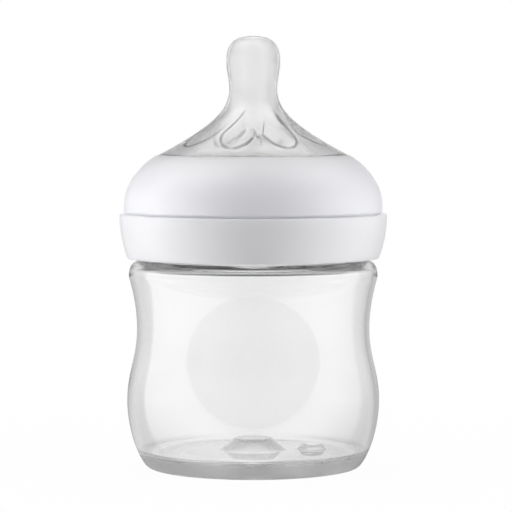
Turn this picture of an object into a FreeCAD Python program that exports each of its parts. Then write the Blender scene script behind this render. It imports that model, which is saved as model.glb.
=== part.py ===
import FreeCAD, Part
import math
import os

# A small wide-neck baby bottle: clear body, white screw ring, silicone teat and the teat's air-vent flap.
# Millimetres. +Z is up, the origin is the centre of the foot, and the round front panel faces -Y.

# Bottle body: outside radii are steps from the neck, heights are steps from the foot
neck_radius = 26.4
shoulder_width = 5.6
waist_inset = 1.93
belly_bulge = 2.56
base_inset = 4.4
foot_round = 1.1
base_to_belly = 16.2
belly_to_waist = 18.6
waist_to_shoulder = 12.8
flare_angle = 15.9
shoulder_round = 5.0
neck_height = 16.3
wall = 1.3
neck_wall = 2.0

# Bottle floor: arched underside, push-up in the middle and a small dimple that sets which way it stands
floor_height = 4.6
floor_round = 0.8
foot_width = 1.94
arch_width = 6.9
underside_depth = 2.4
push_up_radius = 8.3
push_up_height = 3.0
push_up_taper = 3.5
push_up_wall = 1.5
dimple_radius = 3.9
dimple_height = 1.5
dimple_taper = 1.3
dimple_offset = 15.2

# Round panel on the front
panel_radius = 17.0
panel_rise = 12.5
panel_depth = 0.35

# Two-start screw thread between neck and ring
thread_lead = 10.0
thread_starts = 2
thread_depth = 1.5
thread_root_width = 2.2
thread_crest_width = 1.2
thread_flank_gap = 0.45
thread_clearance = 0.6
crest_clearance = 0.45
neck_thread_turns = 0.75
ring_thread_turns = 0.5
thread_start_height = 3.8
thread_run_out = 20.0
thread_sink = 0.4
thread_sections = 24

# Screw ring
ring_gap = 0.5
sleeve_wall = 1.6
sleeve_lift = 0.8
slot_gap = 0.8
skirt_wall = 1.7
band_height = 11.4
band_flare = 1.95
band_edge = 0.4
ledge_width = 1.2
groove_depth = 0.4
groove_height = 0.7
cap_seat_height = 1.4
dome_height = 12.8
dome_end_slope = 0.53
dome_rim = 0.25
rim_height = 1.0
slot_roof = 2.1
rib_count = 12
rib_width = 1.2

# Teat
seat_gap = 0.1
fit_gap = 0.3
flange_thickness = 1.9
flange_side_gap = 0.4
lip_depth = 2.4
lip_wall = 1.5
silicone_wall = 1.9
nipple_wall = 1.8
tip_wall = 2.2
seat_to_hole = 7.3
hole_inset = 1.65
collar_show = 0.45
cone_angle = 28.3
cone_rise = 16.55
nipple_neck_radius = 6.17
bulb_bulge = 0.75
bulb_rise = 7.5
tip_rise = 6.35
tip_hole_radius = 0.5

# Petal pockets inside the teat's cone: a round lobe and a swirled tail, as lengths up the cone's inside
petal_count = 8
petal_depth = 0.6
petal_start = 4.6
petal_lobe = 6.5
petal_tail = 12.9
petal_half_width = 4.4
petal_top_width = 1.2
petal_swirl = 30.0
petal_first_angle = -17.0
petal_sections = 7

# Air vent: a tongue in a window at the back of the teat's skirt
vent_width = 5.0
vent_height = 4.2
vent_drop = 2.3
vent_side_gap = 0.3
vent_swing_gap = 0.7
flap_thickness = 0.9

# Shares of a curve's span that set how full it is
short_handle = 0.24
full_handle = 0.33
soft_handle = 0.385
neck_handle = 0.355
dome_handle = 0.46
round_handle = 0.635
cone_handle = 0.66

# Sizes that follow from the ones above
shoulder_radius = neck_radius + shoulder_width
waist_radius = shoulder_radius - waist_inset
belly_radius = waist_radius + belly_bulge
base_radius = belly_radius - base_inset
belly_z = foot_round + base_to_belly
waist_z = belly_z + belly_to_waist
shoulder_z = waist_z + waist_to_shoulder
shoulder_top = shoulder_z + shoulder_round
bottle_rim = shoulder_top + neck_height
neck_bore = neck_radius - neck_wall

thread_crest = neck_radius + thread_depth
sleeve_bore = thread_crest + thread_clearance
ring_thread_crest = neck_radius + crest_clearance
ring_bottom = shoulder_top + ring_gap
sleeve_outside = sleeve_bore + sleeve_wall
skirt_inside = sleeve_outside + slot_gap
band_bottom = skirt_inside + skirt_wall
band_radius = band_bottom + band_flare
cap_seat_radius = band_radius - ledge_width
ledge_z = ring_bottom + band_height
groove_radius = cap_seat_radius - groove_depth
groove_top = ledge_z + groove_height
dome_z = groove_top + cap_seat_height
dome_top = dome_z + dome_height

flange_bottom = bottle_rim + seat_gap
flange_top = flange_bottom + flange_thickness
clamp_z = flange_top + seat_gap
flange_radius = sleeve_bore - flange_side_gap
lip_radius = neck_bore - fit_gap
skirt_radius = lip_radius + silicone_wall
hole_radius = skirt_radius - hole_inset + fit_gap
collar_radius = hole_radius - fit_gap
collar_z = flange_top + seat_to_hole
collar_top = dome_top + collar_show
bulb_radius = nipple_neck_radius + bulb_bulge
vent_top = collar_z - vent_drop
vent_bottom = vent_top - vent_height
flap_top = vent_top - vent_side_gap

big = 4 * belly_radius
tolerance = 1e-6


def turned(edges):
    """Solid of revolution about the axis from the edges of a closed outline in the XZ plane."""
    face = Part.Face(Part.Wire(edges))
    return face.revolve(FreeCAD.Vector(0, 0, 0), FreeCAD.Vector(0, 0, 1), 360)


def outline(*runs):
    """Edges of a closed outline: each run is a list of (radius, height) poles, and lines close the gaps."""
    edges = []
    ends = []
    for run in runs:
        poles = [FreeCAD.Vector(radius, 0, height) for radius, height in run]
        ends.append((poles[0], poles[-1]))
        if len(poles) == 2:
            edges.append(Part.LineSegment(poles[0], poles[1]).toShape())
        if len(poles) > 2:
            curve = Part.BezierCurve()
            curve.setPoles(poles)
            edges.append(curve.toShape())
    for index, (_, last) in enumerate(ends):
        following = ends[(index + 1) % len(ends)][0]
        if last.distanceToPoint(following) > tolerance:
            edges.append(Part.LineSegment(last, following).toShape())
    return Part.__sortEdges__(edges)


def cylinder(radius, low, high):
    """Upright cylinder on the axis between two heights."""
    return Part.makeCylinder(radius, high - low, FreeCAD.Vector(0, 0, low))


def body_runs(inset):
    """Outline of the bottle's wall from the base to the shoulder, moved inwards by the inset."""
    base = (base_radius - inset, foot_round)
    belly = (belly_radius - inset, belly_z)
    waist = (waist_radius - inset, waist_z)
    shoulder = (shoulder_radius - inset, shoulder_z)
    lower = [
        base,
        (base[0] + round_handle * base_inset, foot_round + short_handle * base_to_belly),
        (belly[0], belly_z - full_handle * base_to_belly),
        belly,
    ]
    middle = [
        belly,
        (belly[0], belly_z + soft_handle * belly_to_waist),
        (waist[0], waist_z - soft_handle * belly_to_waist),
        waist,
    ]
    flare = math.tan(math.radians(flare_angle))
    reach = full_handle * waist_to_shoulder
    upper = [
        waist,
        (waist[0], waist_z + reach),
        (shoulder[0] - flare * reach, shoulder_z - reach),
        shoulder,
    ]
    rise = full_handle * shoulder_round
    top = [
        shoulder,
        (shoulder[0] + flare * rise, shoulder_z + rise),
        (shoulder[0], shoulder_top - inset),
        (shoulder[0] - round_handle * shoulder_round, shoulder_top - inset),
    ]
    return lower, middle, upper, top


def body_solid(inset):
    """Filled bottle body up to the shoulder, with its wall moved inwards by the inset."""
    runs = body_runs(inset)
    top_z = runs[-1][-1][1]
    return turned(outline([(0, top_z), (0, foot_round)], *runs))


def ridge(root, crest, centre_z, first_turn, turns):
    """One thread ridge that winds up from a height, with both its ends sunk into the wall."""
    sections = []
    steps = round(turns * thread_sections)
    sink = math.copysign(thread_sink, root - crest)
    for step in range(steps + 1):
        angle = 360 * turns * step / steps
        from_end = min(angle, 360 * turns - angle)
        share = min(1.0, from_end / thread_run_out)
        tip = root + sink / 2 + (crest - root - sink / 2) * share
        height = centre_z + thread_lead * angle / 360
        corners = [
            (root + sink, -thread_root_width / 2),
            (tip, -thread_crest_width / 2),
            (tip, thread_crest_width / 2),
            (root + sink, thread_root_width / 2),
        ]
        points = [FreeCAD.Vector(radius, 0, height + rise) for radius, rise in corners]
        wire = Part.makePolygon(points + points[:1])
        wire.rotate(FreeCAD.Vector(0, 0, 0), FreeCAD.Vector(0, 0, 1), first_turn * 360 + angle)
        sections.append(wire)
    return Part.makeLoft(sections, True)


def ridges(root, crest, centre_z, first_turn, turns):
    """The ridges of all the thread's starts."""
    firsts = [first_turn + start / thread_starts for start in range(thread_starts)]
    return [ridge(root, crest, centre_z, first, turns) for first in firsts]


def tapered_boss(radius, taper, low, height, x=0.0, y=0.0):
    """Frustum that narrows upwards."""
    return Part.makeCone(radius, radius - taper, height, FreeCAD.Vector(x, y, low))


def panel_skin(inset):
    """What lies outside the panel's surface in front of the body, for a wall moved inwards by the inset."""
    centre = FreeCAD.Vector(0, -panel_radius / 2, belly_z + panel_rise)
    disc = Part.makeCylinder(panel_radius, 2 * belly_radius, centre, FreeCAD.Vector(0, -1, 0))
    return disc.cut(body_solid(inset + panel_depth))


def foot_slope():
    """How far the wall leans out per height where it leaves the foot."""
    return round_handle * base_inset / (short_handle * base_to_belly)


def arch():
    """Space under the floor, which rises in a smooth curve from the foot's inner edge."""
    edge = base_radius - foot_slope() * foot_round - foot_round - foot_width
    crown = edge - arch_width
    curve = [
        (edge, 0),
        (edge - arch_width / 2, 0),
        (crown + arch_width / 2, underside_depth),
        (crown, underside_depth),
    ]
    return turned(outline([(0, underside_depth), (0, 0)], curve))


def bottle():
    """Clear body with an arched foot, a pushed-up floor, a front panel and a threaded neck."""
    foot_radius = base_radius - foot_slope() * foot_round
    lower, middle, upper, top = body_runs(0)
    flat_radius = foot_radius - foot_round
    foot = [(flat_radius, 0), (foot_radius, 0), (base_radius, foot_round)]
    neck = [(neck_radius, shoulder_top), (neck_radius, bottle_rim)]
    shell = turned(outline([(0, bottle_rim), (0, 0)], foot, lower, middle, upper, top, neck))

    cavity = body_solid(wall).cut(cylinder(big, -big, floor_height))
    corners = [edge for edge in cavity.Edges if abs(edge.BoundBox.ZMax - floor_height) < tolerance]
    cavity = cavity.makeFillet(floor_round, corners)
    mouth = cylinder(neck_bore, shoulder_top - 2 * wall, bottle_rim)
    push_up = tapered_boss(push_up_radius, push_up_taper, floor_height, push_up_height)
    dimple = tapered_boss(dimple_radius, dimple_taper, floor_height, dimple_height, dimple_offset)
    cavity = cavity.cut([panel_skin(wall), push_up, dimple]).fuse(mouth)

    push_up_top = floor_height + push_up_height - push_up_wall
    push_recess = tapered_boss(push_up_radius - push_up_wall, push_up_taper, 0, push_up_top)
    dimple_top = floor_height + dimple_height - wall
    dimple_recess = tapered_boss(dimple_radius - wall, dimple_taper, 0, dimple_top, dimple_offset)
    shell = shell.cut([panel_skin(0), cavity, arch(), push_recess, dimple_recess])
    thread_z = shoulder_top + thread_start_height
    neck_ridges = ridges(neck_radius, thread_crest, thread_z, 0, neck_thread_turns)
    return shell.fuse(neck_ridges)


def ring_slot():
    """Open annular space between the ring's sleeve and its outer skirt."""
    roof = ledge_z - slot_roof
    outer_roof = band_radius - skirt_wall
    return turned(
        outline(
            [(sleeve_outside, ring_bottom), (skirt_inside, ring_bottom)],
            [(skirt_inside, ring_bottom), (outer_roof, roof)],
            [(outer_roof, roof), (sleeve_outside, roof)],
        )
    )


def screw_ring():
    """White ring: grip band, ledge for a cap, domed top with a hole, threaded sleeve inside and ribs."""
    band_curve = [
        (band_bottom - band_edge / 2, ring_bottom),
        (band_bottom + band_edge / 2, ring_bottom + band_edge / 2),
        (band_radius, ring_bottom + band_height / 2),
        (band_radius, ledge_z - band_edge),
    ]
    band_top = [
        (band_radius, ledge_z - band_edge),
        (band_radius, ledge_z),
        (band_radius - band_edge, ledge_z),
    ]
    groove = [(groove_radius, ledge_z), (groove_radius, groove_top - groove_depth)]
    cap_seat = [(cap_seat_radius, groove_top), (cap_seat_radius, dome_z)]
    rim_radius = hole_radius + dome_rim
    dome_span = cap_seat_radius - rim_radius
    dome = [
        (cap_seat_radius, dome_z),
        (cap_seat_radius, dome_z + dome_handle * dome_height),
        (rim_radius + dome_handle * dome_span, dome_top - dome_handle * dome_span * dome_end_slope),
        (rim_radius, dome_top),
    ]
    hole = [(hole_radius, dome_top - dome_rim), (hole_radius, dome_top - dome_rim - rim_height)]
    seat = [(hole_radius + hole_inset, clamp_z), (sleeve_bore, clamp_z)]
    sleeve = [(sleeve_bore, ring_bottom + sleeve_lift), (sleeve_outside, ring_bottom + sleeve_lift)]
    body = turned(outline(band_curve, band_top, groove, cap_seat, dome, hole, seat, sleeve))

    ribs = []
    for index in range(rib_count):
        rib = Part.makeBox(big, rib_width, ledge_z - ring_bottom - 2 * sleeve_lift)
        rib.translate(FreeCAD.Vector(0, -rib_width / 2, ring_bottom + 2 * sleeve_lift))
        rib.rotate(FreeCAD.Vector(0, 0, 0), FreeCAD.Vector(0, 0, 1), 360 * (index + 0.5) / rib_count)
        ribs.append(rib)
    body = body.cut(ring_slot().cut(ribs))

    flank = (thread_root_width + thread_crest_width) / 2
    shared_turns = neck_thread_turns - ring_thread_turns
    below = shoulder_top + thread_start_height - flank - thread_flank_gap + thread_lead * shared_turns
    return body.fuse(ridges(sleeve_bore, ring_thread_crest, below, shared_turns, ring_thread_turns))


def teat_runs(cone_wall, side_wall, top_wall):
    """Outline of the teat from the ring's hole to the tip, moved inwards by the three walls."""
    angle = math.radians(cone_angle)
    slope = math.tan(angle)
    drop = cone_wall * (1 / math.cos(angle) - slope)
    start = (collar_radius - cone_wall, collar_top - drop)
    neck_z = collar_top + cone_rise
    neck = (nipple_neck_radius - side_wall, neck_z)
    bulb = (bulb_radius - side_wall, neck_z + bulb_rise)
    tip_z = neck_z + bulb_rise + tip_rise - top_wall
    reach = cone_handle * (start[0] - neck[0])
    below = neck_handle * (neck_z - start[1])
    cone = [start, (start[0] - reach, start[1] + reach * slope), (neck[0], neck_z - below), neck]
    rise = soft_handle * bulb_rise
    swell = [neck, (neck[0], neck_z + rise), (bulb[0], bulb[1] - rise), bulb]
    tip = [
        bulb,
        (bulb[0], bulb[1] + round_handle * (tip_z - bulb[1])),
        (bulb[0] - full_handle * bulb[0], tip_z),
        (0, tip_z),
    ]
    return cone, swell, tip


def skirt_inner_radius(height):
    """Inside radius of the teat's leaning skirt at a height."""
    return skirt_radius - silicone_wall - hole_inset * (height - flange_top) / seat_to_hole


def petal_edge(line, share, side):
    """Point on one side of the petal's outline, seen from the front, at a share of the way up."""
    lobe = min(1.0, 2 * share)
    tail = max(0.0, 2 * share - 1)
    rise = 1 - math.cos(math.pi / 2 * lobe)
    place = line.valueAt(line.getParameterByLength(petal_start + petal_lobe * rise + petal_tail * tail))
    half = petal_half_width * math.sqrt(1 - (1 - rise) ** 2) - (petal_half_width - petal_top_width) * tail
    swirl = math.radians(petal_swirl) * tail * tail * (3 - 2 * tail)
    across = place.x * math.sin(swirl + side * half / place.x)
    return FreeCAD.Vector(across, 0, place.z)


def petal(angle):
    """Petal-shaped pocket in the inside of the cone, at an angle about the axis."""
    line = Part.Wire(outline(teat_runs(silicone_wall, nipple_wall, tip_wall)[0])[:1]).Edges[0]
    shares = [index / petal_sections for index in range(petal_sections + 1)]
    left = Part.BSplineCurve()
    left.interpolate([petal_edge(line, share, -1) for share in shares])
    right = Part.BSplineCurve()
    right.interpolate([petal_edge(line, share, 1) for share in shares])
    top = Part.LineSegment(left.EndPoint, right.EndPoint)
    face = Part.Face(Part.Wire(Part.__sortEdges__([left.toShape(), right.toShape(), top.toShape()])))
    prism = face.extrude(FreeCAD.Vector(0, -big, 0))
    deep = teat_runs(silicone_wall - petal_depth, nipple_wall - petal_depth, tip_wall)[0]
    pocket = prism.common(turned(outline([(0, deep[-1][1]), (0, deep[0][1])], deep)))
    pocket.rotate(FreeCAD.Vector(0, 0, 0), FreeCAD.Vector(0, 0, 1), angle)
    return pocket


def vent_box(side_gap, bottom_gap, top):
    """Block that bounds the vent window, or the flap inside it, behind the axis."""
    width = vent_width - 2 * side_gap
    low = vent_bottom + bottom_gap
    corner = FreeCAD.Vector(-width / 2, collar_radius / 2, low)
    return Part.makeBox(width, skirt_radius, top - low, corner)


def teat():
    """Silicone teat: sealing lip, flange, leaning skirt, cone with petal pockets, nipple, vent window."""
    lip_inside = lip_radius - lip_wall
    lip_bottom = flange_bottom - lip_depth
    outside = teat_runs(0, 0, 0)
    inside = [run[::-1] for run in teat_runs(silicone_wall, nipple_wall, tip_wall)[::-1]]
    body = turned(
        outline(
            [(lip_inside, lip_bottom), (lip_radius, lip_bottom)],
            [(lip_radius, flange_bottom), (flange_radius, flange_bottom)],
            [(flange_radius, flange_top), (skirt_radius, flange_top)],
            [(collar_radius, collar_z), outside[0][0]],
            *outside,
            *inside,
            [(skirt_inner_radius(collar_z), collar_z), (skirt_inner_radius(flange_top), flange_top)],
            [(lip_inside, flange_bottom), (lip_inside, lip_bottom)],
        )
    )
    petals = [petal(petal_first_angle + 360 * index / petal_count) for index in range(petal_count)]
    tip_hole = cylinder(tip_hole_radius, outside[0][-1][1], 2 * outside[-1][-1][1])
    return body.cut(petals + [tip_hole, vent_box(0, 0, vent_top)])


def vent_flap():
    """Thin tongue that fills the vent window flush with the skirt's inside, with room to swing inwards."""
    low = (skirt_inner_radius(vent_bottom), vent_bottom)
    high = (skirt_inner_radius(vent_top), vent_top)
    shell = turned(
        outline(
            [low, (low[0] + flap_thickness, low[1])],
            [(high[0] + flap_thickness, high[1]), high],
        )
    )
    return shell.common(vent_box(vent_side_gap, vent_swing_gap, flap_top))


os.makedirs("parts", exist_ok=True)
pieces = {"bottle": bottle(), "screw_ring": screw_ring(), "teat": teat(), "vent_flap": vent_flap()}
for name, shape in pieces.items():
    shape.exportStep("parts/" + name + ".step")
    print(name, shape.isValid(), len(shape.Solids), round(shape.Volume, 1), shape.BoundBox)
print("vent hinge at y", round(skirt_inner_radius(flap_top), 3), "z", round(flap_top, 3))
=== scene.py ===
"""Dress a small wide-neck baby bottle: fine meshes, finishes, soft studio light and the camera.

Outlines are in millimetres, as (radius, height) about the bottle's axis, and become metres in the mesh.
In the pieces' sizes, a pull is how far along a stretch a curve's pole lies, as a share of that stretch, a
pitch is the longest straight piece of a mesh, and steps are how many pieces a curve is drawn in.
"""
import logging
import math
from dataclasses import dataclass, field
from enum import Enum
from typing import Callable, Mapping, Sequence, Union

import bmesh
import bpy
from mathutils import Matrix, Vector


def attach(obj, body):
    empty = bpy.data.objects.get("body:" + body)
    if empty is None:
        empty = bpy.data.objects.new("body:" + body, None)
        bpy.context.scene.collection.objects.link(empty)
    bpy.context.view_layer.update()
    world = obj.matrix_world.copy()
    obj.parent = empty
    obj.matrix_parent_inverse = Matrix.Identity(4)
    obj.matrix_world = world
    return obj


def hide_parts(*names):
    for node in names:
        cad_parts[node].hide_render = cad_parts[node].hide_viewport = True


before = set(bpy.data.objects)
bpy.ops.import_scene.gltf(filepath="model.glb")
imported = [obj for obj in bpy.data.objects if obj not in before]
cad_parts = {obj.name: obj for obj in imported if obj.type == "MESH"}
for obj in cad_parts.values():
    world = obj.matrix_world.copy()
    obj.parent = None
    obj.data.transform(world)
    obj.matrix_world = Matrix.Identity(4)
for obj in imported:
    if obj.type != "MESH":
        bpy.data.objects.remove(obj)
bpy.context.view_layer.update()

MM = 0.001
TINY = 1e-6
# Where the front is round the axis, in degrees from the right-hand side.
FRONT_TURN = -90.0
CORNER_STEPS = 6
# A pitch longer than any side, so that each side stays one piece.
WHOLE_SIDE = 20.0
RANGE_ENDS = ("From Min", "From Max", "To Min", "To Max")

Pole = tuple[float, float]
Triple = tuple[float, float, float]
Cell = tuple[int, int]
Face = tuple[Cell, ...]
Piece = bpy.types.Object
Node = bpy.types.Node
Socket = bpy.types.NodeSocket
Value = Union[float, Sequence[float], Socket]
Values = Mapping[Union[str, int], Value]
log = logging.getLogger("baby_bottle")


class Zone(Enum):
    """Which stretch of a piece's outline a knot belongs to."""

    PLAIN = "plain"
    WALL = "wall"
    THREAD = "thread"
    FLOOR = "floor"
    SLOT = "slot"
    PETAL = "petal"


class Slot(Enum):
    """Material slots of the record."""

    CLEAR_PLASTIC = "clear_plastic"
    WHITE_PLASTIC = "white_plastic"
    CLEAR_SILICONE = "clear_silicone"


class Ease(Enum):
    """How a value runs from one end of its range to the other."""

    STRAIGHT = "LINEAR"
    SMOOTH = "SMOOTHSTEP"


@dataclass
class Knot:
    """One point of an outline.

    Attributes:
        radius: Distance from the axis, mm.
        height: Height above the foot, mm.
        zone: The stretch that it belongs to.
        climb: Way up the inside of the teat's cone, mm. Used in the petals' zone alone.
        outward: Which way is out of that cone. Used there too.
    """

    radius: float
    height: float
    zone: Zone
    climb: float = 0.0
    outward: Pole = (0.0, 0.0)


def smooth_step(low: float, high: float, value: float) -> float:
    """Ease from 0 at low to 1 at high.

    Args:
        low: Value where the result is 0.
        high: Value where the result is 1.
        value: Value to ease.

    Returns:
        The eased share.
    """
    share = min(1.0, max(0.0, (value - low) / (high - low)))
    return share * share * (3 - 2 * share)


def bevel(share: float, ease: float) -> float:
    """Rise in a straight line from 0 to 1, with both ends rounded.

    Args:
        share: Where along the rise.
        ease: How far each end is rounded, as a share of the rise.

    Returns:
        The height there, from 0 to 1.
    """
    if share > 0.5:
        return 1 - bevel(1 - share, ease)
    if share < ease:
        return max(0.0, share + ease) ** 2 / (4 * ease)
    return share


def wrapped(angle: float, period: float) -> float:
    """Bring an angle into half a period either side of zero."""
    return (angle + period / 2) % period - period / 2


@dataclass
class Outline:
    """A piece's outline, drawn knot by knot.

    Attributes:
        knots: The points so far.
    """

    knots: list[Knot] = field(default_factory=list)

    def add(self, radius: float, height: float, zone: Zone) -> None:
        """Add one knot, unless it repeats the last one.

        Args:
            radius: Distance from the axis, mm.
            height: Height above the foot, mm.
            zone: The stretch that it belongs to.
        """
        last = self.knots[-1] if self.knots else None
        if last and math.hypot(last.radius - radius, last.height - height) < TINY:
            return
        self.knots.append(Knot(radius, height, zone))

    def curve(self, poles: Sequence[Pole], steps: int, zone: Zone = Zone.PLAIN) -> None:
        """Add a Bezier curve.

        Args:
            poles: Three or four control points.
            steps: How many pieces the curve is drawn in.
            zone: The stretch that it belongs to.
        """
        order = len(poles) - 1
        for step in range(steps + 1):
            share = step / steps
            weights = [math.comb(order, k) * share**k * (1 - share) ** (order - k) for k in range(order + 1)]
            radius = sum(weight * pole[0] for weight, pole in zip(weights, poles))
            height = sum(weight * pole[1] for weight, pole in zip(weights, poles))
            self.add(radius, height, zone)

    def run(self, corners: Sequence[tuple[float, ...]], pitch: float, zone: Zone = Zone.PLAIN) -> None:
        """Add straight stretches with rounded corners between them.

        Args:
            corners: (radius, height) or (radius, height, rounding) of each corner.
            pitch: Longest straight piece, mm.
            zone: The stretch that it belongs to.
        """
        points = [Vector(corner[:2]) for corner in corners]
        rounds = [corner[2] if len(corner) > 2 else 0.0 for corner in corners]
        for index, point in enumerate(points):
            if rounds[index] and 0 < index < len(points) - 1:
                before = point + (points[index - 1] - point).normalized() * rounds[index]
                after = point + (points[index + 1] - point).normalized() * rounds[index]
                self.straight(before, pitch, zone)
                self.curve([tuple(before), tuple(point), tuple(after)], CORNER_STEPS, zone)
            else:
                self.straight(point, pitch, zone)

    def straight(self, end: Vector, pitch: float, zone: Zone) -> None:
        """Add a straight stretch from the last knot.

        Args:
            end: (radius, height) where it ends.
            pitch: Longest straight piece, mm.
            zone: The stretch that it belongs to.
        """
        if not self.knots:
            self.add(end.x, end.y, zone)
            return
        start = Vector((self.knots[-1].radius, self.knots[-1].height))
        pieces = max(1, math.ceil((end - start).length / pitch - TINY))
        for piece in range(1, pieces + 1):
            point = start.lerp(end, piece / pieces)
            self.add(point.x, point.y, zone)

    def left(self, index: int) -> Pole:
        """Unit normal at a knot.

        Args:
            index: Which knot.

        Returns:
            The normal to the left of the way that the outline runs.
        """
        before = self.knots[max(0, index - 1)]
        after = self.knots[min(len(self.knots) - 1, index + 1)]
        along = Vector((after.radius - before.radius, after.height - before.height)).normalized()
        return -along.y, along.x


Warp = Callable[[Knot, float], Pole]


@dataclass
class Lathe:
    """Turns an outline into a closed mesh about the axis.

    Attributes:
        segments: How many columns the mesh has round the axis.
        sharp_angle: Edges that turn more than this stay crisp, degrees.
    """

    segments: int = 320
    sharp_angle: float = 40.0

    def turn(self, name: str, outline: Outline, warp: Warp, holes: frozenset[Cell] = frozenset(),
             bridges: Sequence[Face] = ()) -> Piece:
        """Build the mesh.

        Args:
            name: Name of the new object.
            outline: The outline to turn, a loop unless its two ends lie on the axis.
            warp: Gives each knot's radius and height at an angle in degrees.
            holes: (knot, column) of the faces that are left out.
            bridges: Further faces, each four (knot, column) corners.

        Returns:
            The new object, linked to the scene.
        """
        mesh = bmesh.new()
        grid = []
        for knot in outline.knots:
            row = []
            on_axis = knot.radius < TINY
            for column in range(1 if on_axis else self.segments):
                angle = 360 * column / self.segments
                radius, height = warp(knot, angle)
                turn = math.radians(angle)
                place = Vector((radius * math.cos(turn), radius * math.sin(turn), height)) * MM
                row.append(mesh.verts.new(place))
            grid.append(row)

        def corner(index: int, column: int) -> bmesh.types.BMVert:
            """Vertex at a knot and a column, which wrap round."""
            row = grid[index % len(grid)]
            return row[column % len(row)]

        is_loop = len(grid[0]) > 1
        for index in range(len(grid) if is_loop else len(grid) - 1):
            for column in range(self.segments):
                if (index, column) in holes:
                    continue
                ring = (corner(index, column), corner(index, column + 1),
                        corner(index + 1, column + 1), corner(index + 1, column))
                mesh.faces.new(dict.fromkeys(ring))
        for bridge in bridges:
            mesh.faces.new([corner(index, column) for index, column in bridge])
        bmesh.ops.recalc_face_normals(mesh, faces=mesh.faces)
        data = bpy.data.meshes.new(name)
        mesh.to_mesh(data)
        mesh.free()
        for polygon in data.polygons:
            polygon.use_smooth = True
        data.set_sharp_from_angle(angle=math.radians(self.sharp_angle))
        piece = bpy.data.objects.new(name, data)
        bpy.context.scene.collection.objects.link(piece)
        return piece


@dataclass
class Wiring:
    """Adds nodes to a tree and wires them up.

    Attributes:
        tree: The node tree.
    """

    tree: bpy.types.NodeTree

    def feed(self, node: Node, values: Values) -> Node:
        """Link values into a node's sockets, or set them there where they are constant.

        Args:
            node: The node.
            values: What goes into each socket.

        Returns:
            The node.
        """
        for name, value in values.items():
            if isinstance(value, Socket):
                self.tree.links.new(value, node.inputs[name])
            else:
                node.inputs[name].default_value = value
        return node

    def add(self, kind: str, values: Values, **settings: str) -> Node:
        """Add a node.

        Args:
            kind: Its type.
            values: What goes into each of its sockets.
            settings: Its other settings.

        Returns:
            The node.
        """
        node = self.tree.nodes.new(kind)
        for name, setting in settings.items():
            setattr(node, name, setting)
        return self.feed(node, values)

    def reckon(self, operation: str, *values: Value) -> Socket:
        """Work out a number from numbers."""
        return self.add("ShaderNodeMath", dict(enumerate(values)), operation=operation).outputs["Value"]

    def move(self, operation: str, *values: Value) -> Socket:
        """Work out a place from places."""
        node = self.add("ShaderNodeVectorMath", dict(enumerate(values)), operation=operation)
        return node.outputs["Vector"]

    def length(self, place: Socket) -> Socket:
        """How far a place is from the origin."""
        return self.add("ShaderNodeVectorMath", {0: place}, operation="LENGTH").outputs["Value"]

    def rescale(self, value: Socket, given: Pole, wanted: Pole = (0.0, 1.0),
                ease: Ease = Ease.STRAIGHT) -> Socket:
        """Bring a value from a given range into a wanted one."""
        values = {"Value": value, **dict(zip(RANGE_ENDS, (*given, *wanted)))}
        return self.add("ShaderNodeMapRange", values, interpolation_type=ease.value).outputs["Result"]

    def blend(self, share: Socket, low: Value, high: Value) -> Socket:
        """Blend two numbers by the share of the second."""
        return self.add("ShaderNodeMix", {"Factor": share, "A": low, "B": high}).outputs["Result"]


@dataclass(frozen=True)
class Frost:
    """A patch of a surface that is duller than the rest.

    Attributes:
        centre: Middle of the patch, mm.
        stretch: How much each axis counts in the distance from the middle.
        radius: Distance at which the patch ends, mm.
        edge: Width over which it fades out, mm.
        roughness: Roughness inside the patch.
    """

    centre: Triple
    stretch: Triple
    radius: float
    edge: float
    roughness: float

    def cover(self, wiring: Wiring, place: Socket, roughness: Socket) -> Socket:
        """Lay the patch over a roughness.

        Args:
            wiring: Adds the nodes.
            place: Point of the surface in metres.
            roughness: Roughness outside the patch.

        Returns:
            Roughness with the patch.
        """
        from_centre = wiring.move("SUBTRACT", place, [value * MM for value in self.centre])
        away = wiring.length(wiring.move("MULTIPLY", from_centre, self.stretch))
        fade = ((self.radius - self.edge) * MM, self.radius * MM)
        outside = wiring.rescale(away, fade, ease=Ease.SMOOTH)
        return wiring.blend(outside, self.roughness, roughness)


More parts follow.
